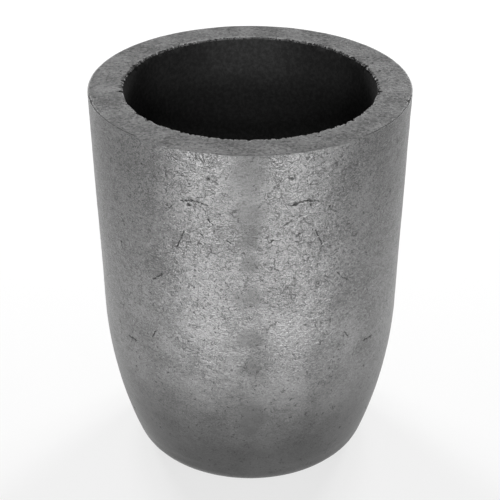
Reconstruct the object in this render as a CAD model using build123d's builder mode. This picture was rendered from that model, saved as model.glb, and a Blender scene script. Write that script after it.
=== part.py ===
from build123d import *

import os
from math import asin, cos, degrees, radians, sin, tan

# A foundry crucible: a thick pot of pressed and fired clay-graphite, made in one piece.
# It is a body of revolution about Z. The base stands at Z = 0 and the rim is at the top.
# The outside is a straight, slightly tapered barrel. A long arc, the belly, carries it in
# to a rounded edge around the flat base. The bore follows the outside and ends in a bowl.

# Outside, in millimetres and degrees
height = 207.0
rim_diameter = 165.0
barrel_taper = 1.65
belly_height = 86.0
belly_radius = 247.0
base_edge_radius = 12.5
rim_edge_break = 1.0

# Inside
rim_wall = 18.0
bore_taper = 2.2
bore_belly_radius = 225.0
floor_thickness = 25.0
floor_dish = 3.0
bowl_corner_radius = 38.0
mouth_edge_break = 0.7

os.makedirs("parts", exist_ok=True)


def belly_sweep(taper, radius, start_height, end_height):
    """Turn, in degrees, of an arc that leaves a leaning wall and ends at a lower height."""
    centre_height = start_height + radius * sin(radians(taper))
    end_lean = asin((centre_height - end_height) / radius)
    return degrees(end_lean) - taper


def wall_line(top_radius, taper):
    """The straight upper wall, from the rim down to where the belly begins."""
    foot_radius = top_radius - (height - belly_height) * tan(radians(taper))
    return Line((top_radius, height), (foot_radius, belly_height))


def nearest_corner(sketch, point):
    """The corner of a sketch that lies at a point of its outline."""
    return sketch.vertices().sort_by_distance(point)[0]


rim_radius = rim_diameter / 2
mouth_radius = rim_radius - rim_wall

with BuildPart() as crucible:
    with BuildSketch(Plane.XZ) as half_section:
        with BuildLine():
            barrel = wall_line(rim_radius, barrel_taper)
            belly = JernArc(
                start=barrel @ 1,
                tangent=barrel % 1,
                radius=belly_radius,
                arc_size=-belly_sweep(barrel_taper, belly_radius, belly_height, 0),
            )
            base = Line(belly @ 1, (0, 0))
            centre_line = Line(base @ 1, (0, floor_thickness))
            bore = wall_line(mouth_radius, bore_taper)
            bore_belly = JernArc(
                start=bore @ 1,
                tangent=bore % 1,
                radius=bore_belly_radius,
                arc_size=-belly_sweep(
                    bore_taper, bore_belly_radius, belly_height, floor_thickness + floor_dish
                ),
            )
            bowl_floor = TangentArc(centre_line @ 1, bore_belly @ 1, tangent=(1, 0))
            rim = Line(bore @ 0, barrel @ 0)
        make_face()
        fillet(nearest_corner(half_section, belly @ 1), base_edge_radius)
        fillet(nearest_corner(half_section, bore_belly @ 1), bowl_corner_radius)
        chamfer(nearest_corner(half_section, rim @ 0), mouth_edge_break)
        chamfer(nearest_corner(half_section, rim @ 1), rim_edge_break)
    revolve(axis=Axis.Z)

crucible.part.label = "crucible"
export_step(crucible.part, "parts/crucible.step")
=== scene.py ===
from collections import namedtuple
from math import asin, atan2, cos, degrees, pi, radians, sin, sqrt, tan, tau

import bmesh
import bpy
from bpy.props import FloatProperty, FloatVectorProperty, IntProperty, PointerProperty
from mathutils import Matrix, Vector, kdtree, noise


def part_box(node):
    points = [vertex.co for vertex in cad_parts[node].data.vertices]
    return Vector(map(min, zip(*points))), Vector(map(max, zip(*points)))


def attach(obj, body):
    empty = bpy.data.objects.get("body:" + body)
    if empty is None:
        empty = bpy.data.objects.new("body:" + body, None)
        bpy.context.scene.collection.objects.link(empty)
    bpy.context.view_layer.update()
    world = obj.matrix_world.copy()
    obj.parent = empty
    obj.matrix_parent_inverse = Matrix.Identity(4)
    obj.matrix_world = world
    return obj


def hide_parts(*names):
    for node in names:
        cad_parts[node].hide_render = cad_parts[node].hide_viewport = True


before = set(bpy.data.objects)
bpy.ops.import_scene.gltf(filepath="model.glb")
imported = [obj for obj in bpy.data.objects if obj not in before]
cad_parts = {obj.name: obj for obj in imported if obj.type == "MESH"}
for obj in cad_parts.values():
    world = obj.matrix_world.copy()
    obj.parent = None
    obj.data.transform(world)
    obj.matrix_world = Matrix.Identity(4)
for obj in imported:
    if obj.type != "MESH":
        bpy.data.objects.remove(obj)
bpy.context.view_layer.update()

bl_info = {
    "name": "Foundry Crucible",
    "version": (1, 0, 0),
    "blender": (4, 5, 0),
    "location": "View3D > Sidebar > Crucible",
    "description": "Builds a worn clay-graphite foundry crucible and a plain studio around it",
    "category": "Object",
}

MM = 0.001
NODE_NAME = "crucible"
BODY_NAME = "root"
BASE_CORNER, RIM_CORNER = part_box(NODE_NAME)
RIM_RADIUS = (RIM_CORNER[0] - BASE_CORNER[0]) / 2
HEIGHT = RIM_CORNER[2]

# A crack, a pit or a seam: its kind, its points, half its width and its depth in metres, and how
# much its line strays and breaks up, from 0 to 1
Mark = namedtuple("Mark", "kind line half_width depth raggedness")


def size(name, description, millimetres):
    """A length that a user can change, given in millimetres and held in metres."""
    return FloatProperty(
        name=name,
        description=description,
        default=millimetres * MM,
        min=0.0,
        precision=5,
        subtype="DISTANCE",
    )


def lean(name, description, angle):
    """An angle that a user can change, given in degrees and held in radians."""
    return FloatProperty(name=name, description=description, default=radians(angle), subtype="ANGLE")


def linear(hex_colour):
    """Turns an sRGB hex colour, such as "7f7f7f", into linear red, green and blue."""
    channels = [int(hex_colour[i:i + 2], 16) / 255 for i in (0, 2, 4)]
    return tuple(c / 12.92 if c <= 0.04045 else ((c + 0.055) / 1.055) ** 2.4 for c in channels)


def colour(name, description, hex_colour):
    """A colour that a user can change, given as sRGB hex."""
    return FloatVectorProperty(
        name=name,
        description=description,
        default=linear(hex_colour),
        min=0.0,
        max=1.0,
        size=3,
        subtype="COLOR",
    )


class CrucibleForm(bpy.types.PropertyGroup):
    """Sizes of the half section. The height and the rim's diameter come from the frame."""

    barrel_taper: lean("Barrel taper", "Lean of the straight outer wall", 1.65)
    belly_height: size("Belly height", "Height at which the wall starts to curve in", 86.0)
    belly_radius: size("Belly radius", "Long arc from the barrel to the base", 247.0)
    base_edge_radius: size("Base edge radius", "Round edge around the flat base", 12.5)
    rim_edge_radius: size("Rim edge radius", "Rubbed outer edge of the rim", 0.25)
    rim_wall: size("Rim wall", "Width of the flat rim", 18.0)
    mouth_edge_radius: size("Mouth edge radius", "Broken edge between rim and bore", 1.0)
    bore_taper: lean("Bore taper", "Lean of the straight inner wall", 2.2)
    bore_belly_radius: size("Bore belly radius", "Long arc of the bore", 225.0)
    bowl_corner_radius: size("Bowl corner radius", "Round corner between bore and floor", 38.0)
    floor_thickness: size("Floor thickness", "Thickness of the floor at its middle", 25.0)
    floor_dish: size("Floor dish", "Rise of the floor from its middle to the corner", 3.0)
    columns: IntProperty(name="Columns", description="Faces around the barrel", default=336, min=24)
    wall_row: size("Wall row", "Height of a row of faces on the outside", 1.5)
    rim_row: size("Rim row", "Width of a row of faces on the rim", 0.8)
    bore_row: size("Bore row", "Height of a row of faces down the bore", 5.0)


class CrucibleRelief(bpy.types.PropertyGroup):
    """Depths and widths of the uneven surface that pressing, firing and use have left."""

    wave_width: size("Wave width", "Breadth of the barrel's slow unevenness", 45.0)
    wave_depth: size("Wave depth", "Depth of the barrel's slow unevenness", 0.22)
    crinkle_width: size("Crinkle width", "Breadth of the pressed crinkle", 6.5)
    crinkle_depth: size("Crinkle depth", "Depth of the pressed crinkle", 0.08)
    rim_depth: size("Rim unevenness", "Depth of the trimmed rim's unevenness", 0.10)
    ragged_width: size("Raggedness width", "Length of a crumb lost from the mouth edge", 0.9)
    ragged_depth: size("Raggedness depth", "Depth of a crumb lost from the mouth edge", 1.2)
    chip_drop: size("Chip drop", "How far a chip breaks the mouth edge down", 0.7)
    crack_wander: size("Crack wander", "How far a crack strays from its line", 0.7)


class CrucibleFinish(bpy.types.PropertyGroup):
    """Colours of the fired clay-graphite, pressed and trimmed, and in the bore painted dark as shade."""

    wall_dark: colour("Wall, dark", "Clay-rich patches of the pressed wall", "5a5a5a")
    wall_light: colour("Wall, light", "Graphite-rich patches of the pressed wall", "898989")
    rim_dark: colour("Rim, dark", "Open grain of the trimmed rim", "383838")
    rim_light: colour("Rim, light", "Closed grain of the trimmed rim", "7f7f7f")
    # The rim's lighter colour serves its rubbed edges and chips, and a painted highlight along the back
    # of the mouth edge.
    rim_wear_and_highlight: colour("Rim, worn", "Rubbed edges and chips of the rim", "8c8c8c")
    # This colour is painted shade, laid into pits, cracks, hairlines, pin holes and the seam.
    recess: colour("Recess", "Pits, cracks and the mould's seam", "343434")
    # The bore's two colours are painted shade: far darker than the wall's, they stand for the shade
    # inside the bore.
    bore_dark: colour("Bore, dark", "Lining, painted dark as shade", "333333")
    bore_light: colour("Bore, light", "Worn flecks of the lining", "545454")


class CrucibleStudio(bpy.types.PropertyGroup):
    """Camera, floor, lamps and room."""

    aim_height: size("Aim height", "Height that the camera looks at", 110.4)
    camera_distance: size("Camera distance", "From the aim to the camera", 815.0)
    camera_lean: lean("Camera elevation", "Angle of the view below level", 29.5)
    camera_lens: FloatProperty(
        name="Lens", description="Focal length", default=108.8, min=1.0, subtype="DISTANCE_CAMERA"
    )
    floor_radius: size("Floor radius", "Radius of the studio floor", 4000.0)
    floor_colour: colour("Floor", "Pale floor", "f4f4f4")
    floor_glow: FloatProperty(
        name="Floor glow", description="Share of the floor's own white light", default=0.7,
        min=0.0, max=1.0, subtype="FACTOR",
    )
    front_power: FloatProperty(
        name="Front lamps", description="Power of each low front lamp", default=2.5, unit="POWER"
    )
    back_power: FloatProperty(
        name="Back lamps", description="Power of each high back lamp", default=2.4, unit="POWER"
    )
    low_back_power: FloatProperty(
        name="Low back lamps", description="Power of each low back lamp", default=12.5, unit="POWER"
    )
    key_power: FloatProperty(
        name="Key lamp", description="Power of the lamp behind the camera", default=8.5,
        unit="POWER",
    )
    fill: FloatProperty(
        name="Fill", description="Strength of the white room around the set", default=0.14, min=0.0
    )


# Cracks in the pressed wall: azimuth in degrees from the front and height in millimetres of
# each point, then the crack's width and depth in millimetres. Each lies on both sides.
WALL_CRACKS = (
    (((-23.6, 179.4), (-20.3, 180.6), (-18.1, 180.7), (-15.9, 179.7), (-14.1, 179.4)), 0.7, 0.35),
    (((-22.9, 163.5), (-24.1, 159.3), (-26.4, 152.3)), 0.7, 0.35),
    (((-17.3, 163.3), (-16.2, 162.1)), 0.8, 0.35),
    (((-14.3, 171.7), (-12.1, 168.5)), 0.7, 0.3),
    (((-8.1, 161.2), (-6.2, 159.2)), 0.7, 0.3),
    (((-37.5, 129.8), (-35.1, 131.7), (-32.3, 135.9)), 0.8, 0.25),
    (((-52.9, 86.4), (-48.1, 86.7)), 0.8, 0.3),
    (((-39.3, 94.1), (-37.2, 98.8)), 0.8, 0.3),
    (((-29.4, 175.7), (-28.6, 174.0), (-27.4, 175.7)), 0.7, 0.3),
)

# Pits in the pressed wall: azimuth, height, width and depth, in the same units
WALL_PITS = (
    (-20.9, 178.2, 1.4, 0.8), (-53.3, 142.4, 1.0, 0.5), (-53.4, 140.6, 0.8, 0.4),
    (-38.9, 193.7, 1.2, 0.4), (-45.8, 186.6, 0.9, 0.4), (-13.9, 193.1, 1.4, 0.5),
    (-25.1, 203.2, 0.8, 0.4), (-18.2, 203.4, 0.8, 0.4), (-20.4, 189.3, 0.9, 0.5),
    (-25.4, 132.8, 1.2, 0.4), (-38.2, 121.0, 0.8, 0.4), (-69.7, 111.1, 1.1, 0.5),
    (-49.8, 69.3, 1.3, 0.5), (-48.9, 67.2, 0.8, 0.4), (-32.6, 75.8, 1.0, 0.25),
    (-59.0, 84.1, 1.0, 0.4), (-42.2, 31.3, 1.4, 0.6), (-63.6, 29.1, 1.3, 0.5),
)

# Patches of painted shade down the front middle of the pressed wall, between the sheen bands, where the
# grain is also calmed: azimuth and height of the middle, then half the width and half the height
SHADE_PATCHES = (
    (0.0, 197.0, 11.5, 14.0), (0.0, 176.0, 9.0, 9.0), (0.0, 163.0, 6.0, 7.0), (0.0, 148.0, 5.0, 6.0),
    (0.0, 128.0, 8.0, 6.0), (0.0, 104.0, 8.0, 5.0), (0.0, 86.0, 6.0, 5.0), (0.0, 54.0, 8.0, 13.0),
)

# Pits in the rim: azimuth, distance from the axis, width and depth, in the same units
RIM_PITS = (
    (-120.6, 71.9, 1.4, 0.4), (-114.0, 70.1, 1.1, 0.3), (-105.0, 69.5, 1.8, 0.4),
    (-95.8, 70.8, 1.0, 0.3), (-78.5, 78.9, 1.2, 0.4), (-75.5, 81.0, 1.4, 0.4),
    (-130.2, 76.9, 1.0, 0.3), (-52.0, 74.0, 1.0, 0.3), (-28.0, 70.0, 1.2, 0.3),
)

# The seam that the mould left along the rim's outer edge, a shallow groove painted dark as a line of
# shade: azimuths of its points in degrees, then its distance in from the rim's side, width and depth in
# millimetres
RIM_SEAM = ((-80.0, -72.0, -64.0, -56.0, -48.0, -41.0), 0.7, 1.1, 0.2)

# Bites out of the mouth edge: azimuth, length and depth, in the same units
MOUTH_BITES = (
    (-168.0, 3.0, 1.1), (-143.3, 6.0, 1.5), (-132.3, 3.5, 1.2), (-122.8, 4.5, 1.4),
    (-112.3, 2.6, 1.6), (-104.0, 2.0, 0.8), (-95.0, 2.2, 0.7), (-82.5, 2.4, 1.7),
    (-68.5, 2.6, 1.3), (-49.4, 2.6, 1.3), (-30.0, 2.0, 0.7), (-12.0, 2.0, 0.6),
)

# Chips that break the mouth edge down without dark recesses: azimuth, length and width
MOUTH_CHIPS = ((-71.0, 4.0, 2.6), (-57.0, 6.0, 2.8), (-43.5, 7.0, 2.4), (-88.0, 3.0, 1.8))

# The seed of the noise that makes cracks and the patches of painted shade waver
NOISE_SEED = 5

# How far up a normal points on the rim, and there beside the mouth, and how far down at the base
RIM_NORMAL = 0.3
MOUTH_NORMAL = 0.15
BASE_NORMAL = -0.7

# How deep the bore and the base are pressed, as a share of the outer wall's relief
SMOOTHER_SHARE = 0.5

# How far around the middle of the base and of the floor nothing moves
POLE_REACH = 1.0 * MM

# Raggedness of the seam, and how far from a mark's edge its line may stray
SEAM_RAGGEDNESS = 0.2
MARK_MARGIN = 1.2 * MM

# Breadth of a mark's wandering, of the gaps in it, of the crumbs in a chip, of the rubbed patches
# beside the mouth that also carry a painted highlight, and of the wavering of a patch of painted shade,
# then how far that one wavers
WANDER_WIDTH = 1.3 * MM
GAP_WIDTH = 1.2 * MM
CRUMB_WIDTH = 1.2 * MM
RUBBED_WIDTH = 5 * MM
SHADE_PATCH_WIDTH = 7 * MM
SHADE_PATCH_WANDER = 3 * MM

# How far from the mouth edge its wear reaches at all, and where bites, loose crumbs and rubbing with its
# painted highlight begin to fade and end
WORN_REACH = 5 * MM
BITE_FADE = (0.5 * MM, 1.2 * MM)
CRUMBLY_FADE = (0.5 * MM, 2.2 * MM)
RUBBED_FADE = (1.2 * MM, 3.4 * MM)
SMALLEST_CHIP = 0.3 * MM

# How strongly the rim's outer edge is rubbed
RIM_EDGE_WEAR_SHARE = 0.6

# Azimuths, in degrees from the front, over which the mouth edge grows crumbly and then sound
# again, and over which hairline cracks begin and end
CRUMBLY_TURN = (75, 95)
SOUND_TURN = (145, 168)
CRAZING_BEGINS = (3, 9)
CRAZING_ENDS = (26, 37)

# Shares of the height over which hairline cracks gather, of a mark's and of a shade patch's half
# size over which each fades, and of a bite's and of a chip's length over which each fades
CRAZING_SHARES = (0.4, 0.7)
MARK_SHARES = (0.4, 1.3)
SHADE_PATCH_SHARES = (0.5, 1.3)
BITE_SHARES = (0.25, 0.6)
CHIP_SHARES = (0.2, 0.6)

# Levels of the noise between which a crumb comes off, a mark's line closes up and the edge beside
# the mouth is rubbed
CRUMB_LEVELS = (-0.2, 0.6)
GAP_LEVELS = (-0.6, -0.1)
RUBBED_LEVELS = (-0.5, 0.3)

# Two lengths that differ by less are the same, and points that lie closer are one
SAME_LENGTH = 0.01 * MM
SAME_POINT = 0.001 * MM

# Lamps that stand in pairs: name, the setting with its power, azimuth in degrees, distance from
# the axis, height, and the lamp's own width and height in metres. The key lamp stands alone.
PAIRED_LAMPS = (
    ("front_lamp", "front_power", 27.5, 0.7, 0.04, 0.24, 0.06),
    ("back_lamp", "back_power", 150, 0.58, 0.92, 0.2, 0.35),
    ("low_back_lamp", "low_back_power", 150, 1.4, 0.5, 0.3, 0.3),
)
KEY_LAMP = ("key_lamp", "key_power", 0, 1.7, 0.66, 0.4, 0.4)

# The floor's number of sides, its gap under the base, and the nearest thing that the camera sees
FLOOR_SIDES = 96
FLOOR_DROP = 0.1 * MM
NEAREST_VIEW = 10 * MM


def rows_in(length, spacing):
    """How many rows of about one spacing fill a length."""
    return max(1, round(length / spacing))


def draw_line(mesh, point, radius, height, spacing):
    """Draws a straight stretch of the section to a new point, row by row."""
    start, end = point.co.copy(), Vector((radius, 0.0, height))
    rows = rows_in((end - start).length, spacing)
    for row in range(1, rows + 1):
        point = bmesh.ops.extrude_vert_indiv(mesh, verts=[point])["verts"][0]
        point.co = start.lerp(end, row / rows)
    return point


def draw_arc(mesh, start, centre, turn, spacing):
    """Draws a round stretch of the section by spinning a point about the arc's centre."""
    steps = rows_in((start.co - centre).length * abs(turn), spacing)
    arc = bmesh.ops.spin(
        mesh, geom=[start], cent=centre, axis=(0.0, -1.0, 0.0), angle=turn, steps=steps
    )
    return arc["geom_last"][0]


def meeting(centre_a, reach_a, centre_b, reach_b):
    """The point on the outer side that lies at a given reach from each of two centres."""
    across = centre_b - centre_a
    along = (reach_a**2 - reach_b**2 + across.length_squared) / (2 * across.length)
    aside = sqrt(reach_a**2 - along**2)
    direction = across.normalized()
    outward = Vector((direction.z, 0.0, -direction.x))
    return centre_a + direction * along + outward * aside


def belly_centre(top_radius, taper, arc_radius, belly_height):
    """Centre of the long arc that is tangent to a leaning wall at the belly's height."""
    foot_radius = top_radius - (HEIGHT - belly_height) * tan(taper)
    return Vector(
        (foot_radius - arc_radius * cos(taper), 0.0, belly_height + arc_radius * sin(taper))
    )


def draw_outside(mesh, form):
    """Draws the section from the middle of the base up to the flat of the rim."""
    taper, edge, rim_edge = form.barrel_taper, form.base_edge_radius, form.rim_edge_radius
    row, base_row, rim_edge_row = form.wall_row, 3 * form.wall_row, form.rim_row / 2
    centre = belly_centre(RIM_RADIUS, taper, form.belly_radius, form.belly_height)
    inner_reach = form.belly_radius - edge
    edge_lean = asin((centre.z - edge) / inner_reach)
    edge_centre = Vector((centre.x + inner_reach * cos(edge_lean), 0.0, edge))
    rim_edge_centre = Vector(
        (RIM_RADIUS - rim_edge * (tan(taper) + 1 / cos(taper)), 0.0, HEIGHT - rim_edge)
    )
    wall_end = rim_edge_centre + rim_edge * Vector((cos(taper), 0.0, -sin(taper)))

    point = mesh.verts.new((0.0, 0.0, 0.0))
    point = draw_line(mesh, point, edge_centre.x, 0.0, base_row)
    point = draw_arc(mesh, point, edge_centre, pi / 2 - edge_lean, row)
    point = draw_arc(mesh, point, centre, edge_lean - taper, row)
    point = draw_line(mesh, point, wall_end.x, wall_end.z, row)
    return draw_arc(mesh, point, rim_edge_centre, pi / 2 + taper, rim_edge_row)


def draw_inside(mesh, form, point):
    """Draws the section on across the rim, down the bore and in to the middle of the bowl."""
    taper, edge, row = form.bore_taper, form.mouth_edge_radius, form.bore_row
    rim_row, mouth_edge_row, lip_depth = form.rim_row, form.rim_row / 2, 5 * form.rim_row
    mouth_radius = RIM_RADIUS - form.rim_wall
    edge_centre = Vector(
        (mouth_radius + edge * (1 / cos(taper) - tan(taper)), 0.0, HEIGHT - edge)
    )
    point = draw_line(mesh, point, edge_centre.x, HEIGHT, rim_row)
    point = draw_arc(mesh, point, edge_centre, pi / 2 - taper, mouth_edge_row)
    lip = point.co - lip_depth * Vector((sin(taper), 0.0, cos(taper)))
    point = draw_line(mesh, point, lip.x, lip.z, rim_row)

    belly = belly_centre(mouth_radius, taper, form.bore_belly_radius, form.belly_height)
    foot = belly + form.bore_belly_radius * Vector((cos(taper), 0.0, -sin(taper)))
    point = draw_line(mesh, point, foot.x, foot.z, row)
    edge_height = form.floor_thickness + form.floor_dish
    floor_edge = belly.x + sqrt(form.bore_belly_radius**2 - (belly.z - edge_height) ** 2)
    dish_radius = (floor_edge**2 + form.floor_dish**2) / (2 * form.floor_dish)
    dish = Vector((0.0, 0.0, form.floor_thickness + dish_radius))
    corner = meeting(
        belly,
        form.bore_belly_radius - form.bowl_corner_radius,
        dish,
        dish_radius - form.bowl_corner_radius,
    )
    corner_lean = atan2(belly.z - corner.z, corner.x - belly.x)
    dish_lean = atan2(corner.x, dish.z - corner.z)
    point = draw_arc(mesh, point, belly, taper - corner_lean, row)
    point = draw_arc(mesh, point, corner, corner_lean + dish_lean - pi / 2, row)
    point = draw_arc(mesh, point, dish, -dish_lean, row)
    point.co = (0.0, 0.0, form.floor_thickness)


def revolve(mesh, columns):
    """Turns the section once around the axis into one closed shell."""
    bmesh.ops.spin(
        mesh,
        geom=mesh.verts[:] + mesh.edges[:],
        cent=(0.0, 0.0, 0.0),
        axis=(0.0, 0.0, 1.0),
        angle=tau,
        steps=columns,
        use_merge=True,
    )
    bmesh.ops.remove_doubles(mesh, verts=mesh.verts, dist=SAME_POINT)
    bmesh.ops.recalc_face_normals(mesh, faces=mesh.faces)


def outer_radius(form, height):
    """Distance from the axis to the outer wall at a height above the base edge."""
    if height > form.belly_height:
        return RIM_RADIUS - (HEIGHT - height) * tan(form.barrel_taper)
    centre = belly_centre(RIM_RADIUS, form.barrel_taper, form.belly_radius, form.belly_height)
    return centre.x + sqrt(form.belly_radius**2 - (centre.z - height) ** 2)


def around(azimuth, radius, height):
    """The point at an azimuth in degrees from the front, positive towards +X."""
    turn = radians(azimuth)
    return Vector((radius * sin(turn), -radius * cos(turn), height))


def surface_marks(form):
    """Lists each crack, pit and seam, on both sides."""
    marks = []
    azimuths, inset, seam_width, seam_depth = RIM_SEAM
    for side in (1, -1):
        for points, width, depth in WALL_CRACKS:
            line = [around(side * a, outer_radius(form, z * MM), z * MM) for a, z in points]
            marks.append(Mark("crack", line, width * MM / 2, depth * MM, 1.0))
        for azimuth, height, width, depth in WALL_PITS:
            spot = around(side * azimuth, outer_radius(form, height * MM), height * MM)
            marks.append(Mark("pit", [spot], width * MM / 2, depth * MM, 1.0))
        for azimuth, radius, width, depth in RIM_PITS:
            spot = around(side * azimuth, radius * MM, HEIGHT)
            marks.append(Mark("pit", [spot], width * MM / 2, depth * MM, 1.0))
        seam = [around(side * a, RIM_RADIUS - inset * MM, HEIGHT) for a in azimuths]
        marks.append(Mark("seam", seam, seam_width * MM / 2, seam_depth * MM, SEAM_RAGGEDNESS))
    return marks


def distance_to_line(point, line):
    """Distance from a point to a line of one or more points."""
    if len(line) == 1:
        return (point - line[0]).length
    nearest = []
    for start, end in zip(line, line[1:]):
        along = end - start
        share = max(0.0, min(1.0, (point - start).dot(along) / along.length_squared))
        nearest.append((point - start - along * share).length)
    return min(nearest)


def vertices_near(tree, line, reach):
    """The vertices within about a reach of a line, found through a search tree.

    The line is sampled once every reach, and the search is a tenth wider to close the gaps.
    """
    samples = [line[0]]
    for start, end in zip(line, line[1:]):
        steps = rows_in((end - start).length, reach)
        samples += [start.lerp(end, step / steps) for step in range(1, steps + 1)]
    found = set()
    for sample in samples:
        found.update(index for _, index, _ in tree.find_range(sample, 1.1 * reach))
    return found


def vertex_tree(mesh):
    """A search tree over a mesh's vertices."""
    mesh.verts.ensure_lookup_table()
    tree = kdtree.KDTree(len(mesh.verts))
    for vert in mesh.verts:
        tree.insert(vert.co, vert.index)
    tree.balance()
    return tree


def refine_near_marks(mesh, marks, margin):
    """Cuts the faces within a margin of each mark into four, so that its edges are sharp."""
    mesh.verts.index_update()
    tree = vertex_tree(mesh)
    near = set()
    for mark in marks:
        near |= vertices_near(tree, mark.line, mark.half_width + margin)
    edges = [e for e in mesh.edges if e.verts[0].index in near and e.verts[1].index in near]
    bmesh.ops.subdivide_edges(mesh, edges=edges, cuts=1, use_grid_fill=True)


def double_mouth_columns(mesh, form, reach, columns):
    """Halves the width of the faces within reach of the mouth edge, for its bites and crumbs."""
    mouth_radius = RIM_RADIUS - form.rim_wall
    edges = []
    for edge in mesh.edges:
        one, other = (vert.co for vert in edge.verts)
        level = abs(one.z - other.z) < SAME_LENGTH
        around_axis = abs(one.xy.length - other.xy.length) < SAME_LENGTH
        near_mouth = one.xy.length < mouth_radius + reach and one.z > HEIGHT - reach
        if level and around_axis and near_mouth:
            edges.append(edge)
    cut = bmesh.ops.subdivide_edges(mesh, edges=edges, cuts=1, use_grid_fill=True)
    chord_to_arc = 1 / cos(pi / columns)
    for vert in cut["geom_inner"]:
        if isinstance(vert, bmesh.types.BMVert):
            vert.co.xy *= chord_to_arc


def refine(mesh, form, marks):
    """Makes the faces smaller at the mouth edge and near the marks, most near the cracks."""
    double_mouth_columns(mesh, form, 4.5 * form.rim_row, form.columns)
    double_mouth_columns(mesh, form, 2.2 * form.rim_row, 2 * form.columns)
    cracks = [mark for mark in marks if mark.kind == "crack"]
    refine_near_marks(mesh, marks, form.wall_row)
    refine_near_marks(mesh, marks, form.wall_row / 2)
    refine_near_marks(mesh, cracks, form.wall_row / 4)
    bmesh.ops.triangulate(mesh, faces=[f for f in mesh.faces if len(f.verts) > 4])


def ramp(value, low, high):
    """Goes smoothly from 0 at low to 1 at high."""
    share = max(0.0, min(1.0, (value - low) / (high - low)))
    return share * share * (3 - 2 * share)


def ramp_around(azimuth, span):
    """Goes smoothly from 0 to 1 over a span of azimuths that is given in degrees."""
    return ramp(azimuth, radians(span[0]), radians(span[1]))


def wall_depth(point, relief):
    """How far the pressed surface lies in from the true form at a point."""
    increment, lacunarity, octaves = 0.9, 2.1, 3
    wave = noise.noise(point / relief.wave_width)
    flat = Vector((point.x, point.y, 1.5 * point.z)) / relief.crinkle_width
    crinkle = noise.fractal(flat, increment, lacunarity, octaves)
    return relief.wave_depth * (0.5 + wave) + relief.crinkle_depth * (0.5 - crinkle)


def rim_depth(point, relief):
    """How far the trimmed rim lies under its true plane at a point."""
    increment, lacunarity, octaves = 0.9, 2.0, 3
    grain = noise.fractal(point / relief.crinkle_width, increment, lacunarity, octaves)
    return relief.rim_depth * (1.0 + grain)


def along_mouth(azimuth, place, mouth_radius):
    """Distance around the mouth between two azimuths, in radians and degrees."""
    return abs((azimuth - radians(place) + pi) % tau - pi) * mouth_radius


def crumbliness(azimuth):
    """How freely crumbs have come off the mouth edge: most behind each side, least at the back."""
    front, behind_side, back = 0.65, 1.0, 0.3
    turn = abs((azimuth + pi) % tau - pi)
    gained = (behind_side - front) * ramp_around(turn, CRUMBLY_TURN)
    lost = (behind_side - back) * ramp_around(turn, SOUND_TURN)
    return front + gained - lost


def strongest_there(places, fade_shares, azimuth, mouth_radius):
    """The largest measure that a table of places around the mouth edge has at an azimuth.

    A place holds its measure over the first share of its length and has none past the second.
    """
    strongest = 0.0
    for place, length, measure in places:
        away = min(along_mouth(azimuth, side * place, mouth_radius) for side in (1, -1))
        start, end = (share * length * MM for share in fade_shares)
        strongest = max(strongest, measure * MM * (1 - ramp(away, start, end)))
    return strongest


def mouth_bite(azimuth, mouth_radius, relief):
    """How far the mouth edge is bitten out at an azimuth, by a crumb or by a named bite."""
    spot = around(degrees(azimuth), mouth_radius, 0.0)
    crumb = ramp(noise.noise(spot / relief.ragged_width), *CRUMB_LEVELS)
    crumb_depth = relief.ragged_depth * crumb * crumbliness(azimuth)
    return max(crumb_depth, strongest_there(MOUTH_BITES, BITE_SHARES, azimuth, mouth_radius))


def press_surface(mesh, form, relief):
    """The moves that make the walls and the rim uneven, one for each vertex."""
    moves = {}
    for vert in mesh.verts:
        point, normal = vert.co, vert.normal
        in_wall = point.xy.length > RIM_RADIUS - form.rim_wall / 2
        in_base = point.z < form.floor_thickness / 2
        if normal.z > RIM_NORMAL and point.z > HEIGHT - form.rim_row:
            depth = rim_depth(point, relief)
        elif in_wall or in_base:
            depth = wall_depth(point, relief)
        else:
            depth = SMOOTHER_SHARE * wall_depth(point, relief)
        if normal.z < BASE_NORMAL:
            depth *= SMOOTHER_SHARE
        if point.xy.length < POLE_REACH:
            depth = 0.0
        moves[vert.index] = -depth * normal
    return moves


def cut_marks(mesh, marks, relief, moves, recess):
    """Adds the cracks, pits and seams to the moves and notes how deep in each a vertex is, which sets its
    painted shade.
    """
    tree = vertex_tree(mesh)
    for mark in marks:
        core, edge = (share * mark.half_width for share in MARK_SHARES)
        wander = relief.crack_wander * mark.raggedness
        for index in vertices_near(tree, mark.line, mark.half_width + MARK_MARGIN):
            vert = mesh.verts[index]
            stray = noise.noise_vector(vert.co / WANDER_WIDTH) * wander
            share = 1 - ramp(distance_to_line(vert.co + stray, mark.line), core, edge)
            if mark.kind != "pit":
                gap = 1 - ramp(noise.noise(vert.co / GAP_WIDTH), *GAP_LEVELS)
                share *= 1 - mark.raggedness * gap
            moves[index] -= share * mark.depth * vert.normal
            vert[recess] = max(vert[recess], share)


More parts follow.
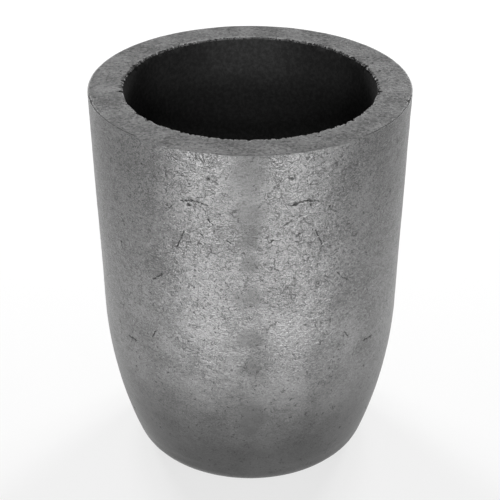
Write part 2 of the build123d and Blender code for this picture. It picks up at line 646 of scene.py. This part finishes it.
def break_mouth_edge(mesh, form, relief, moves, worn, crumbly):
    """Adds the bites and chips of the mouth edge to the moves and notes its rubbed places and painted
    highlight.
    """
    mouth_radius = RIM_RADIUS - form.rim_wall
    for vert in mesh.verts:
        radius, drop = vert.co.xy.length, HEIGHT - vert.co.z
        away = sqrt((radius - mouth_radius) ** 2 + drop**2)
        if away > WORN_REACH:
            continue
        azimuth = atan2(vert.co.x, -vert.co.y)
        # A deep bite reaches further in, and takes the edge down a little
        bite = mouth_bite(azimuth, mouth_radius, relief)
        share = 1 - ramp(away, BITE_FADE[0], BITE_FADE[1] + 1.5 * bite)
        out = vert.co.xy.normalized() * bite * share
        moves[vert.index] += Vector((out.x, out.y, -0.3 * bite * share))
        # A chip takes only the edge down, and leaves it light and uneven
        chip = strongest_there(MOUTH_CHIPS, CHIP_SHARES, azimuth, mouth_radius)
        broken = 1 - ramp(away, 0.4 * chip, chip) if chip > SMALLEST_CHIP else 0.0
        crumbs = 0.6 + noise.noise(vert.co / CRUMB_WIDTH)
        moves[vert.index].z -= relief.chip_drop * broken * crumbs
        # The edge is lighter in patches: a little all round from rubbing, and most of all towards the
        # back, where painted highlight is laid on its rounded edge
        back = ramp(vert.co.y, -0.2 * mouth_radius, 0.7 * mouth_radius)
        rubbed = (1 - ramp(away, *RUBBED_FADE)) * (0.25 + 0.75 * back)
        patchy = ramp(noise.noise(vert.co / RUBBED_WIDTH), *RUBBED_LEVELS)
        vert[worn] = min(1.0, max(broken, rubbed * patchy))
        vert[crumbly] = crumbliness(azimuth) * (1 - ramp(away, *CRUMBLY_FADE))


def rub_rim_edge(mesh, form, worn):
    """Notes the rim's outer edge as rubbed light."""
    reach = 1.5 * form.rim_edge_radius
    for vert in mesh.verts:
        if vert.co.xy.length > RIM_RADIUS - reach and vert.co.z > HEIGHT - reach:
            vert[worn] = RIM_EDGE_WEAR_SHARE


def note_shade_patches(mesh, form, dull):
    """Notes where shade is painted on the wall, in patches whose edges waver."""
    for azimuth, height, half_width, half_height in SHADE_PATCHES:
        middle = around(azimuth, outer_radius(form, height * MM), height * MM)
        reach = 2 * max(half_width, half_height) * MM
        for vert in mesh.verts:
            if (vert.co - middle).length > reach:
                continue
            stray = noise.noise_vector(vert.co / SHADE_PATCH_WIDTH) * SHADE_PATCH_WANDER
            across, up = vert.co + stray - middle, vert.co.z + stray.z - middle.z
            away = sqrt((across.xy.length / half_width) ** 2 + (up / half_height) ** 2) / MM
            vert[dull] = max(vert[dull], 1 - ramp(away, *SHADE_PATCH_SHARES))


def note_crazing(mesh, crazed):
    """Notes where hairline cracks gather: on the upper barrel, to both sides of its front."""
    low, high = (share * HEIGHT for share in CRAZING_SHARES)
    for vert in mesh.verts:
        azimuth = abs(atan2(vert.co.x, -vert.co.y))
        beside = ramp_around(azimuth, CRAZING_BEGINS) * (1 - ramp_around(azimuth, CRAZING_ENDS))
        vert[crazed] = beside * ramp(vert.co.z, low, high)


def press_relief(mesh, form, relief, marks):
    """Gives the true form its uneven walls, its cracks and pits, and its broken mouth edge."""
    recess, worn, crumbly, crazed, dull = (
        mesh.verts.layers.float.new(name) for name in ("recess", "worn", "crumbly", "crazed", "dull")
    )
    note_crazing(mesh, crazed)
    note_shade_patches(mesh, form, dull)
    rub_rim_edge(mesh, form, worn)
    mesh.normal_update()
    mesh.verts.index_update()
    mesh.verts.ensure_lookup_table()
    moves = press_surface(mesh, form, relief)
    cut_marks(mesh, marks, relief, moves, recess)
    break_mouth_edge(mesh, form, relief, moves, worn, crumbly)
    for vert in mesh.verts:
        vert.co += moves[vert.index]
        reach = vert.co.xy.length
        if reach > RIM_RADIUS:
            vert.co.xy *= RIM_RADIUS / reach
        vert.co.z = min(max(vert.co.z, 0.0), HEIGHT)
    mesh.normal_update()


def finish_index(face, form):
    """Which finish a face of the true form has: 0 pressed wall, 1 trimmed rim, 2 dark bore."""
    centre = face.calc_center_median()
    radius = centre.xy.length
    upward = RIM_NORMAL if radius > RIM_RADIUS - form.rim_wall / 2 else MOUTH_NORMAL
    if face.normal.z > upward and centre.z > HEIGHT - 1.5 * form.rim_row:
        return 1
    if radius < RIM_RADIUS - form.rim_wall and centre.z > form.floor_thickness / 2:
        return 2
    return 0


def share_out_finishes(mesh, form):
    """Gives each face its finish, with a sharp border between the wall and the rim."""
    mesh.normal_update()
    for face in mesh.faces:
        face.smooth = True
        face.material_index = finish_index(face, form)
    for edge in mesh.edges:
        edge.smooth = {face.material_index for face in edge.link_faces} != {0, 1}


def add_node(tree, kind, settings=None, values=None, links=None):
    """Adds a shader node, sets its options and its sockets' values, and links its inputs."""
    node = tree.nodes.new(kind)
    for name, value in (settings or {}).items():
        setattr(node, name, value)
    for name, value in (values or {}).items():
        node.inputs[name].default_value = value
    for name, socket in (links or {}).items():
        tree.links.new(socket, node.inputs[name])
    return node


def start_material(name):
    """A new material with an empty tree, its shader and object coordinates."""
    material = bpy.data.materials.new(name)
    material.use_nodes = True
    tree = material.node_tree
    tree.nodes.clear()
    shader = add_node(tree, "ShaderNodeBsdfPrincipled")
    add_node(tree, "ShaderNodeOutputMaterial", links={"Surface": shader.outputs["BSDF"]})
    place = add_node(tree, "ShaderNodeTexCoord").outputs["Object"]
    return material, tree, shader, place


def pressed_clay_graphite(finish):
    """Fired clay-graphite as the press mould left it.

    Graphite flakes lie flat in the skin, so it is grey with a soft metallic sheen. The skin is
    crinkled like leather, with fine grain, hairline cracks and pin holes.
    """
    patch_width, crinkle_width, grain_width, pin_hole_width = 22 * MM, 3.4 * MM, 1.7 * MM, 1.6 * MM
    crack_cell_width, bend_width, bend_reach = 5.0 * MM, 3.0 * MM, 3.5 * MM
    crinkle_depth, grain_depth, hole_depth = 0.65 * MM, 0.45 * MM, 0.2 * MM
    plain_tone, painted_light_gain, shade_loss = 0.86, 0.33, 0.17
    material, tree, shader, place = start_material("pressed clay graphite")
    patches = add_node(
        tree, "ShaderNodeTexNoise", values={"Scale": 1 / patch_width, "Detail": 3.0},
        links={"Vector": place},
    ).outputs["Fac"]
    # The plunger turned in the mould, so crinkle and grain are drawn out around the wall
    drawn_out = add_node(
        tree, "ShaderNodeMapping", values={"Scale": (0.9, 0.9, 1.4)}, links={"Vector": place}
    ).outputs["Vector"]
    crinkle = add_node(
        tree, "ShaderNodeTexNoise",
        values={"Scale": 1 / crinkle_width, "Detail": 3.0, "Roughness": 0.6, "Distortion": 1.4},
        links={"Vector": drawn_out},
    ).outputs["Fac"]
    # The real flakes are about a third of a millimetre, drawn coarser here so that they show
    grain = add_node(
        tree, "ShaderNodeTexNoise",
        values={"Scale": 1 / grain_width, "Detail": 2.0, "Distortion": 2.5},
        links={"Vector": drawn_out},
    ).outputs["Fac"]

    # Hairline cracks run along the edges of bent cells, and gather where a slow noise is high
    bend = add_node(
        tree, "ShaderNodeTexNoise", values={"Scale": 1 / bend_width, "Detail": 2.0},
        links={"Vector": place},
    ).outputs["Color"]
    bent = add_node(
        tree, "ShaderNodeVectorMath", settings={"operation": "MULTIPLY_ADD"},
        values={1: (bend_reach, bend_reach, bend_reach)}, links={0: bend, 2: place},
    ).outputs["Vector"]
    cell_edge = add_node(
        tree, "ShaderNodeTexVoronoi", settings={"feature": "DISTANCE_TO_EDGE"},
        values={"Scale": 1 / crack_cell_width}, links={"Vector": bent},
    ).outputs["Distance"]
    line = add_node(
        tree, "ShaderNodeMapRange", settings={"interpolation_type": "SMOOTHSTEP"},
        values={"From Min": 0.0, "From Max": 0.06, "To Min": 0.74, "To Max": 0.0},
        links={"Value": cell_edge},
    ).outputs["Result"]
    crazed = add_node(tree, "ShaderNodeAttribute", settings={"attribute_name": "crazed"}).outputs["Fac"]
    gathered = add_node(
        tree, "ShaderNodeTexNoise", values={"Scale": 1 / crack_cell_width, "Detail": 3.0},
        links={"Vector": place},
    ).outputs["Fac"]
    likely = add_node(
        tree, "ShaderNodeMath", settings={"operation": "MULTIPLY_ADD"}, values={1: 0.09},
        links={0: crazed, 2: gathered},
    ).outputs["Value"]
    broken = add_node(
        tree, "ShaderNodeMapRange", settings={"interpolation_type": "SMOOTHSTEP"},
        values={"From Min": 0.575, "From Max": 0.65}, links={"Value": likely},
    ).outputs["Result"]
    hairline = add_node(
        tree, "ShaderNodeMath", settings={"operation": "MULTIPLY"},
        links={0: line, 1: broken},
    ).outputs["Value"]
    speckle = add_node(
        tree, "ShaderNodeTexNoise",
        values={"Scale": 1 / pin_hole_width, "Detail": 1.0, "Distortion": 0.5},
        links={"Vector": place},
    ).outputs["Fac"]
    pin_hole = add_node(
        tree, "ShaderNodeMapRange", settings={"interpolation_type": "SMOOTHSTEP"},
        values={"From Min": 0.67, "From Max": 0.74, "To Max": 0.7}, links={"Value": speckle},
    ).outputs["Result"]
    small_holes = add_node(
        tree, "ShaderNodeMath", settings={"operation": "MAXIMUM"},
        links={0: pin_hole, 1: hairline},
    ).outputs["Value"]
    # Pits, cracks, hairlines and pin holes are painted dark with shade.
    recess = add_node(tree, "ShaderNodeAttribute", settings={"attribute_name": "recess"}).outputs["Fac"]
    hollow_shade = add_node(
        tree, "ShaderNodeMath", settings={"operation": "MAXIMUM", "use_clamp": True},
        links={0: small_holes, 1: recess},
    ).outputs["Value"]

    # Painted light brightens the belly and painted shade darkens the foot, while the upper barrel
    # keeps its plain tone
    level = add_node(tree, "ShaderNodeSeparateXYZ", links={"Vector": place}).outputs["Z"]
    lower_wall = add_node(
        tree, "ShaderNodeMapRange", settings={"interpolation_type": "SMOOTHSTEP"},
        values={"From Min": 90 * MM, "From Max": 195 * MM, "To Min": 1.0, "To Max": 0.0},
        links={"Value": level},
    ).outputs["Result"]
    belly_light_foot_shade = add_node(
        tree, "ShaderNodeMapRange", settings={"interpolation_type": "SMOOTHSTEP"},
        values={"From Min": 15 * MM, "From Max": 95 * MM, "To Min": -1.2}, links={"Value": level},
    ).outputs["Result"]
    painted_light_and_shade = add_node(
        tree, "ShaderNodeMath", settings={"operation": "MULTIPLY"},
        links={0: lower_wall, 1: belly_light_foot_shade},
    ).outputs["Value"]
    dull = add_node(tree, "ShaderNodeAttribute", settings={"attribute_name": "dull"}).outputs["Fac"]
    lit_tone = add_node(
        tree, "ShaderNodeMath", settings={"operation": "MULTIPLY_ADD"},
        values={1: painted_light_gain, 2: plain_tone}, links={0: painted_light_and_shade},
    ).outputs["Value"]
    # The patches of painted shade down the front middle darken the tone.
    gain = add_node(
        tree, "ShaderNodeMath", settings={"operation": "MULTIPLY_ADD"}, values={1: -shade_loss},
        links={0: dull, 2: lit_tone},
    ).outputs["Value"]

    # The grain is rubbed smooth towards the base, and is calmed in the patches of painted shade
    rubbing = add_node(
        tree, "ShaderNodeMapRange",
        values={"From Min": 20 * MM, "From Max": 130 * MM, "To Min": 0.4, "To Max": 1.55},
        links={"Value": level},
    ).outputs["Result"]
    calm = add_node(
        tree, "ShaderNodeMath", settings={"operation": "MULTIPLY_ADD"}, values={1: -0.45, 2: 1.0},
        links={0: dull},
    ).outputs["Value"]
    contrast = add_node(
        tree, "ShaderNodeMath", settings={"operation": "MULTIPLY"},
        links={0: rubbing, 1: calm},
    ).outputs["Value"]
    flecks = add_node(
        tree, "ShaderNodeMath", settings={"operation": "MULTIPLY_ADD"}, values={1: 0.4},
        links={0: crinkle, 2: grain},
    ).outputs["Value"]
    centred = add_node(
        tree, "ShaderNodeMath", settings={"operation": "SUBTRACT"}, values={1: 0.7},
        links={0: flecks},
    ).outputs["Value"]
    rubbed = add_node(
        tree, "ShaderNodeMath", settings={"operation": "MULTIPLY"},
        links={0: centred, 1: contrast},
    ).outputs["Value"]
    tone = add_node(
        tree, "ShaderNodeMath", settings={"operation": "MULTIPLY_ADD"}, values={1: 0.5},
        links={0: patches, 2: rubbed},
    ).outputs["Value"]
    mixed = add_node(
        tree, "ShaderNodeMapRange", values={"From Min": 0.05, "From Max": 0.45},
        links={"Value": tone},
    ).outputs["Result"]
    skin = add_node(
        tree, "ShaderNodeMix", settings={"data_type": "RGBA"},
        values={6: (*finish.wall_dark, 1.0), 7: (*finish.wall_light, 1.0)}, links={0: mixed},
    ).outputs[2]
    toned = add_node(
        tree, "ShaderNodeVectorMath", settings={"operation": "SCALE"},
        links={0: skin, "Scale": gain},
    ).outputs["Vector"]
    surface = add_node(
        tree, "ShaderNodeMix", settings={"data_type": "RGBA"},
        values={7: (*finish.recess, 1.0)}, links={0: hollow_shade, 6: toned},
    ).outputs[2]
    roughness = add_node(
        tree, "ShaderNodeMapRange",
        values={"From Min": 0.3, "From Max": 0.7, "To Min": 0.34, "To Max": 0.46},
        links={"Value": patches},
    ).outputs["Result"]

    crinkle_height = add_node(
        tree, "ShaderNodeMath", settings={"operation": "MULTIPLY"}, values={1: crinkle_depth},
        links={0: crinkle},
    ).outputs["Value"]
    grain_height = add_node(
        tree, "ShaderNodeMath", settings={"operation": "MULTIPLY_ADD"}, values={1: grain_depth},
        links={0: grain, 2: crinkle_height},
    ).outputs["Value"]
    height = add_node(
        tree, "ShaderNodeMath", settings={"operation": "MULTIPLY_ADD"}, values={1: -hole_depth},
        links={0: small_holes, 2: grain_height},
    ).outputs["Value"]
    roundness = add_node(
        tree, "ShaderNodeMath", settings={"operation": "MULTIPLY"}, values={1: 0.3},
        links={0: contrast},
    ).outputs["Value"]
    bump = add_node(
        tree, "ShaderNodeBump", values={"Distance": 1.0},
        links={"Height": height, "Strength": roundness},
    ).outputs["Normal"]

    shader.inputs["Metallic"].default_value = 0.8
    tree.links.new(surface, shader.inputs["Base Color"])
    tree.links.new(roughness, shader.inputs["Roughness"])
    tree.links.new(bump, shader.inputs["Normal"])
    return material


def trimmed_clay_graphite(finish):
    """Clay-graphite that was trimmed flat before firing.

    The cut opens the grain, so the rim is more matt than the wall and finely speckled. Its edges
    are rubbed lighter, and the mouth edge carries a painted highlight towards the back.
    """
    patch_width, grain_width, speckle_width, grain_depth = 14 * MM, 1.9 * MM, 1.5 * MM, 0.3 * MM
    material, tree, shader, place = start_material("trimmed clay graphite")
    patches = add_node(
        tree, "ShaderNodeTexNoise", values={"Scale": 1 / patch_width, "Detail": 4.0},
        links={"Vector": place},
    ).outputs["Fac"]
    grain = add_node(
        tree, "ShaderNodeTexNoise",
        values={"Scale": 1 / grain_width, "Detail": 3.0, "Roughness": 0.6, "Distortion": 0.6},
        links={"Vector": place},
    ).outputs["Fac"]
    speckle = add_node(
        tree, "ShaderNodeTexNoise", values={"Scale": 1 / speckle_width, "Detail": 2.0},
        links={"Vector": place},
    ).outputs["Fac"]
    crumbly = add_node(tree, "ShaderNodeAttribute", settings={"attribute_name": "crumbly"}).outputs["Fac"]
    loose = add_node(
        tree, "ShaderNodeMath", settings={"operation": "MULTIPLY_ADD"}, values={1: 0.18},
        links={0: crumbly, 2: speckle},
    ).outputs["Value"]
    pin_hole = add_node(
        tree, "ShaderNodeMapRange", settings={"interpolation_type": "SMOOTHSTEP"},
        values={"From Min": 0.61, "From Max": 0.67}, links={"Value": loose},
    ).outputs["Result"]
    # Pin holes, pits and the seam are painted dark with shade.
    recess = add_node(tree, "ShaderNodeAttribute", settings={"attribute_name": "recess"}).outputs["Fac"]
    hollow_shade = add_node(
        tree, "ShaderNodeMath", settings={"operation": "MAXIMUM", "use_clamp": True},
        links={0: pin_hole, 1: recess},
    ).outputs["Value"]
    tone = add_node(
        tree, "ShaderNodeMath", settings={"operation": "MULTIPLY_ADD"}, values={1: 0.6},
        links={0: patches, 2: grain},
    ).outputs["Value"]
    mixed = add_node(
        tree, "ShaderNodeMapRange", values={"From Min": 0.6, "From Max": 1.0},
        links={"Value": tone},
    ).outputs["Result"]
    skin = add_node(
        tree, "ShaderNodeMix", settings={"data_type": "RGBA"},
        values={6: (*finish.rim_dark, 1.0), 7: (*finish.rim_light, 1.0)}, links={0: mixed},
    ).outputs[2]
    worn = add_node(tree, "ShaderNodeAttribute", settings={"attribute_name": "worn"}).outputs["Fac"]
    rubbed = add_node(
        tree, "ShaderNodeMix", settings={"data_type": "RGBA"},
        values={7: (*finish.rim_wear_and_highlight, 1.0)}, links={0: worn, 6: skin},
    ).outputs[2]
    surface = add_node(
        tree, "ShaderNodeMix", settings={"data_type": "RGBA"},
        values={7: (*finish.recess, 1.0)}, links={0: hollow_shade, 6: rubbed},
    ).outputs[2]
    height = add_node(
        tree, "ShaderNodeMath", settings={"operation": "MULTIPLY"}, values={1: grain_depth},
        links={0: grain},
    ).outputs["Value"]
    bump = add_node(
        tree, "ShaderNodeBump", values={"Strength": 1.0, "Distance": 1.0},
        links={"Height": height},
    ).outputs["Normal"]
    shader.inputs["Roughness"].default_value = 0.6
    shader.inputs["Metallic"].default_value = 0.3
    tree.links.new(surface, shader.inputs["Base Color"])
    tree.links.new(bump, shader.inputs["Normal"])
    return material


def shaded_bore_clay_graphite(finish):
    """Clay-graphite lining, coloured far darker than the wall as painted shade in the bore.

    Almost no light comes back from it, and its lighter flecks show only faintly.
    """
    fleck_width, fleck_depth = 2.0 * MM, 0.4 * MM
    material, tree, shader, place = start_material("blackened clay graphite")
    flecks = add_node(
        tree, "ShaderNodeTexNoise",
        values={"Scale": 1 / fleck_width, "Detail": 5.0, "Roughness": 0.7},
        links={"Vector": place},
    ).outputs["Fac"]
    mixed = add_node(
        tree, "ShaderNodeMapRange", values={"From Min": 0.42, "From Max": 1.02},
        links={"Value": flecks},
    ).outputs["Result"]
    surface = add_node(
        tree, "ShaderNodeMix", settings={"data_type": "RGBA"},
        values={6: (*finish.bore_dark, 1.0), 7: (*finish.bore_light, 1.0)}, links={0: mixed},
    ).outputs[2]
    # Painted light makes the lining greyer deep down and high up at the middle of its front and back,
    # and painted shade makes it blackest at its two sides.
    position = add_node(tree, "ShaderNodeSeparateXYZ", links={"Vector": place})
    painted_deep_light = add_node(
        tree, "ShaderNodeMapRange", settings={"interpolation_type": "SMOOTHSTEP"},
        values={"From Min": 180 * MM, "From Max": 125 * MM, "To Min": 1.0, "To Max": 4.5},
        links={"Value": position.outputs["Z"]},
    ).outputs["Result"]
    aside = add_node(
        tree, "ShaderNodeMath", settings={"operation": "ABSOLUTE"},
        links={0: position.outputs["X"]},
    ).outputs["Value"]
    painted_side_shade = add_node(
        tree, "ShaderNodeMapRange", settings={"interpolation_type": "SMOOTHSTEP"},
        values={"From Min": 45 * MM, "From Max": 60 * MM, "To Min": 1.0, "To Max": 0.5},
        links={"Value": aside},
    ).outputs["Result"]
    upper = add_node(
        tree, "ShaderNodeMapRange", settings={"interpolation_type": "SMOOTHSTEP"},
        values={"From Min": 168 * MM, "From Max": 203 * MM}, links={"Value": position.outputs["Z"]},
    ).outputs["Result"]
    middle = add_node(
        tree, "ShaderNodeMapRange", settings={"interpolation_type": "SMOOTHSTEP"},
        values={"From Min": 5 * MM, "From Max": 38 * MM, "To Min": 1.1, "To Max": 0.1},
        links={"Value": aside},
    ).outputs["Result"]
    worn = add_node(
        tree, "ShaderNodeMath", settings={"operation": "MULTIPLY"}, links={0: upper, 1: middle}
    ).outputs["Value"]
    greyer = add_node(
        tree, "ShaderNodeMath", settings={"operation": "ADD"}, links={0: painted_deep_light, 1: worn}
    ).outputs["Value"]
    gain = add_node(
        tree, "ShaderNodeMath", settings={"operation": "MULTIPLY"}, links={0: greyer, 1: painted_side_shade}
    ).outputs["Value"]
    toned = add_node(
        tree, "ShaderNodeVectorMath", settings={"operation": "SCALE"},
        links={0: surface, "Scale": gain},
    ).outputs["Vector"]
    height = add_node(
        tree, "ShaderNodeMath", settings={"operation": "MULTIPLY"}, values={1: fleck_depth},
        links={0: flecks},
    ).outputs["Value"]
    bump = add_node(
        tree, "ShaderNodeBump", values={"Strength": 0.35, "Distance": 1.0},
        links={"Height": height},
    ).outputs["Normal"]
    shader.inputs["Roughness"].default_value = 0.9
    shader.inputs["Specular IOR Level"].default_value = 0.04
    tree.links.new(toned, shader.inputs["Base Color"])
    tree.links.new(bump, shader.inputs["Normal"])
    return material


def pale_floor(studio):
    """Matt white paper that takes a soft shadow, and glows where it is looked at or mirrored."""
    material = bpy.data.materials.new("matt studio paper")
    material.use_nodes = True
    tree = material.node_tree
    tree.nodes.clear()
    paper = add_node(
        tree, "ShaderNodeBsdfDiffuse", values={"Color": (*studio.floor_colour, 1.0)}
    ).outputs["BSDF"]
    glow = add_node(
        tree, "ShaderNodeEmission", values={"Color": (1.0, 1.0, 1.0, 1.0), "Strength": 1.0}
    ).outputs["Emission"]
    path = add_node(tree, "ShaderNodeLightPath")
    looked_at = add_node(
        tree, "ShaderNodeMath", settings={"operation": "MAXIMUM"},
        links={0: path.outputs["Is Camera Ray"], 1: path.outputs["Is Transmission Ray"]},
    ).outputs["Value"]
    seen = add_node(
        tree, "ShaderNodeMath", settings={"operation": "MAXIMUM"},
        links={0: looked_at, 1: path.outputs["Is Glossy Ray"]},
    ).outputs["Value"]
    share = add_node(
        tree, "ShaderNodeMath", settings={"operation": "MULTIPLY"}, values={1: studio.floor_glow},
        links={0: seen},
    ).outputs["Value"]
    both = add_node(tree, "ShaderNodeMixShader", links={0: share, 1: paper, 2: glow}).outputs[0]
    add_node(tree, "ShaderNodeOutputMaterial", links={"Surface": both})
    return material


def white_room(studio):
    """A white room that lights the set softly from all sides."""
    world = bpy.data.worlds.new("studio room")
    bpy.context.scene.world = world
    world.use_nodes = True
    tree = world.node_tree
    tree.nodes.clear()
    room = add_node(
        tree, "ShaderNodeBackground",
        values={"Color": (1.0, 1.0, 1.0, 1.0), "Strength": studio.fill},
    )
    add_node(tree, "ShaderNodeOutputWorld", links={"Surface": room.outputs["Background"]})


def add_lamp(name, place, width, height, power):
    """A soft rectangular lamp that faces the middle of the crucible."""
    lamp = bpy.data.lights.new(name, "AREA")
    lamp.shape = "RECTANGLE"
    lamp.size = width
    lamp.size_y = height
    lamp.energy = power
    holder = bpy.data.objects.new(name, lamp)
    bpy.context.scene.collection.objects.link(holder)
    holder.visible_camera = False
    holder.location = place
    holder.rotation_mode = "QUATERNION"
    aim = Vector((0.0, 0.0, HEIGHT / 2)) - place
    holder.rotation_quaternion = aim.to_track_quat("-Z", "Y")


def add_lamps(studio):
    """Sets up the pairs of lamps and the key lamp."""
    for side, side_name in ((-1, "left"), (1, "right")):
        for name, power, azimuth, distance, level, width, height in PAIRED_LAMPS:
            place = around(side * azimuth, distance, level)
            add_lamp(f"{name}_{side_name}", place, width, height, getattr(studio, power))
    name, power, azimuth, distance, level, width, height = KEY_LAMP
    add_lamp(name, around(azimuth, distance, level), width, height, getattr(studio, power))


def lay_floor(studio):
    """Lays the studio floor just under the crucible's base."""
    mesh = bmesh.new()
    bmesh.ops.create_circle(mesh, cap_ends=True, segments=FLOOR_SIDES, radius=studio.floor_radius)
    bmesh.ops.translate(mesh, verts=mesh.verts, vec=(0.0, 0.0, -FLOOR_DROP))
    data = bpy.data.meshes.new("studio_floor")
    mesh.to_mesh(data)
    mesh.free()
    floor = bpy.data.objects.new("studio_floor", data)
    bpy.context.scene.collection.objects.link(floor)
    data.materials.append(pale_floor(studio))


def add_camera(studio):
    """Places the camera in front of the crucible, looking down on it as the photo does."""
    lens = bpy.data.cameras.new("photo_camera")
    lens.lens = studio.camera_lens
    lens.clip_start = NEAREST_VIEW
    camera = bpy.data.objects.new("photo_camera", lens)
    bpy.context.scene.collection.objects.link(camera)
    tilt = studio.camera_lean
    back = Vector((0.0, -cos(tilt), sin(tilt)))
    camera.location = Vector((0.0, 0.0, studio.aim_height)) + studio.camera_distance * back
    camera.rotation_mode = "QUATERNION"
    camera.rotation_quaternion = (-back).to_track_quat("-Z", "Y")
    bpy.context.scene.camera = camera


class CRUCIBLE_OT_body(bpy.types.Operator):
    """Build the crucible's finished body from its half section"""

    bl_idname = "crucible.build_body"
    bl_label = "Build Crucible Body"

    def execute(self, context):
        form, finish = context.scene.crucible_form, context.scene.crucible_finish
        marks = surface_marks(form)
        noise.seed_set(NOISE_SEED)
        mesh = bmesh.new()
        rim_start = draw_outside(mesh, form)
        draw_inside(mesh, form, rim_start)
        revolve(mesh, form.columns)
        refine(mesh, form, marks)
        share_out_finishes(mesh, form)
        press_relief(mesh, form, context.scene.crucible_relief, marks)

        data = bpy.data.meshes.new("crucible_body")
        mesh.to_mesh(data)
        mesh.free()
        body = bpy.data.objects.new("crucible_body", data)
        context.scene.collection.objects.link(body)
        data.materials.append(pressed_clay_graphite(finish))
        data.materials.append(trimmed_clay_graphite(finish))
        data.materials.append(shaded_bore_clay_graphite(finish))
        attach(body, BODY_NAME)
        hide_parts(NODE_NAME)
        return {"FINISHED"}


class CRUCIBLE_OT_studio(bpy.types.Operator):
    """Build the floor, the lamps, the white room and the camera"""

    bl_idname = "crucible.build_studio"
    bl_label = "Build Studio"

    def execute(self, context):
        studio = context.scene.crucible_studio
        lay_floor(studio)
        white_room(studio)
        add_lamps(studio)
        add_camera(studio)
        context.scene.view_settings.view_transform = "Standard"
        return {"FINISHED"}


class CRUCIBLE_PT_sidebar(bpy.types.Panel):
    """Lists the crucible's sizes, colours and build steps"""

    bl_idname = "CRUCIBLE_PT_sidebar"
    bl_label = "Foundry Crucible"
    bl_space_type = "VIEW_3D"
    bl_region_type = "UI"
    bl_category = "Crucible"

    def draw(self, context):
        for name in PROPERTY_GROUPS:
            group = getattr(context.scene, name)
            box = self.layout.box()
            box.label(text=name.replace("_", " ").capitalize())
            for field in group.__annotations__:
                box.prop(group, field)
        for operator in OPERATORS:
            self.layout.operator(operator.bl_idname)


PROPERTY_GROUPS = {
    "crucible_form": CrucibleForm,
    "crucible_relief": CrucibleRelief,
    "crucible_finish": CrucibleFinish,
    "crucible_studio": CrucibleStudio,
}
OPERATORS = (CRUCIBLE_OT_body, CRUCIBLE_OT_studio)
CLASSES = (*PROPERTY_GROUPS.values(), *OPERATORS, CRUCIBLE_PT_sidebar)


def register():
    """Registers the classes and hangs the settings on the scene."""
    for new_class in CLASSES:
        bpy.utils.register_class(new_class)
    for name, group in PROPERTY_GROUPS.items():
        setattr(bpy.types.Scene, name, PointerProperty(type=group))


def unregister():
    """Takes the settings and the classes away again."""
    for name in PROPERTY_GROUPS:
        delattr(bpy.types.Scene, name)
    for old_class in reversed(CLASSES):
        bpy.utils.unregister_class(old_class)


def main():
    """Builds the crucible and the studio."""
    register()
    bpy.ops.crucible.build_body()
    bpy.ops.crucible.build_studio()


if __name__ == "__main__":
    main()
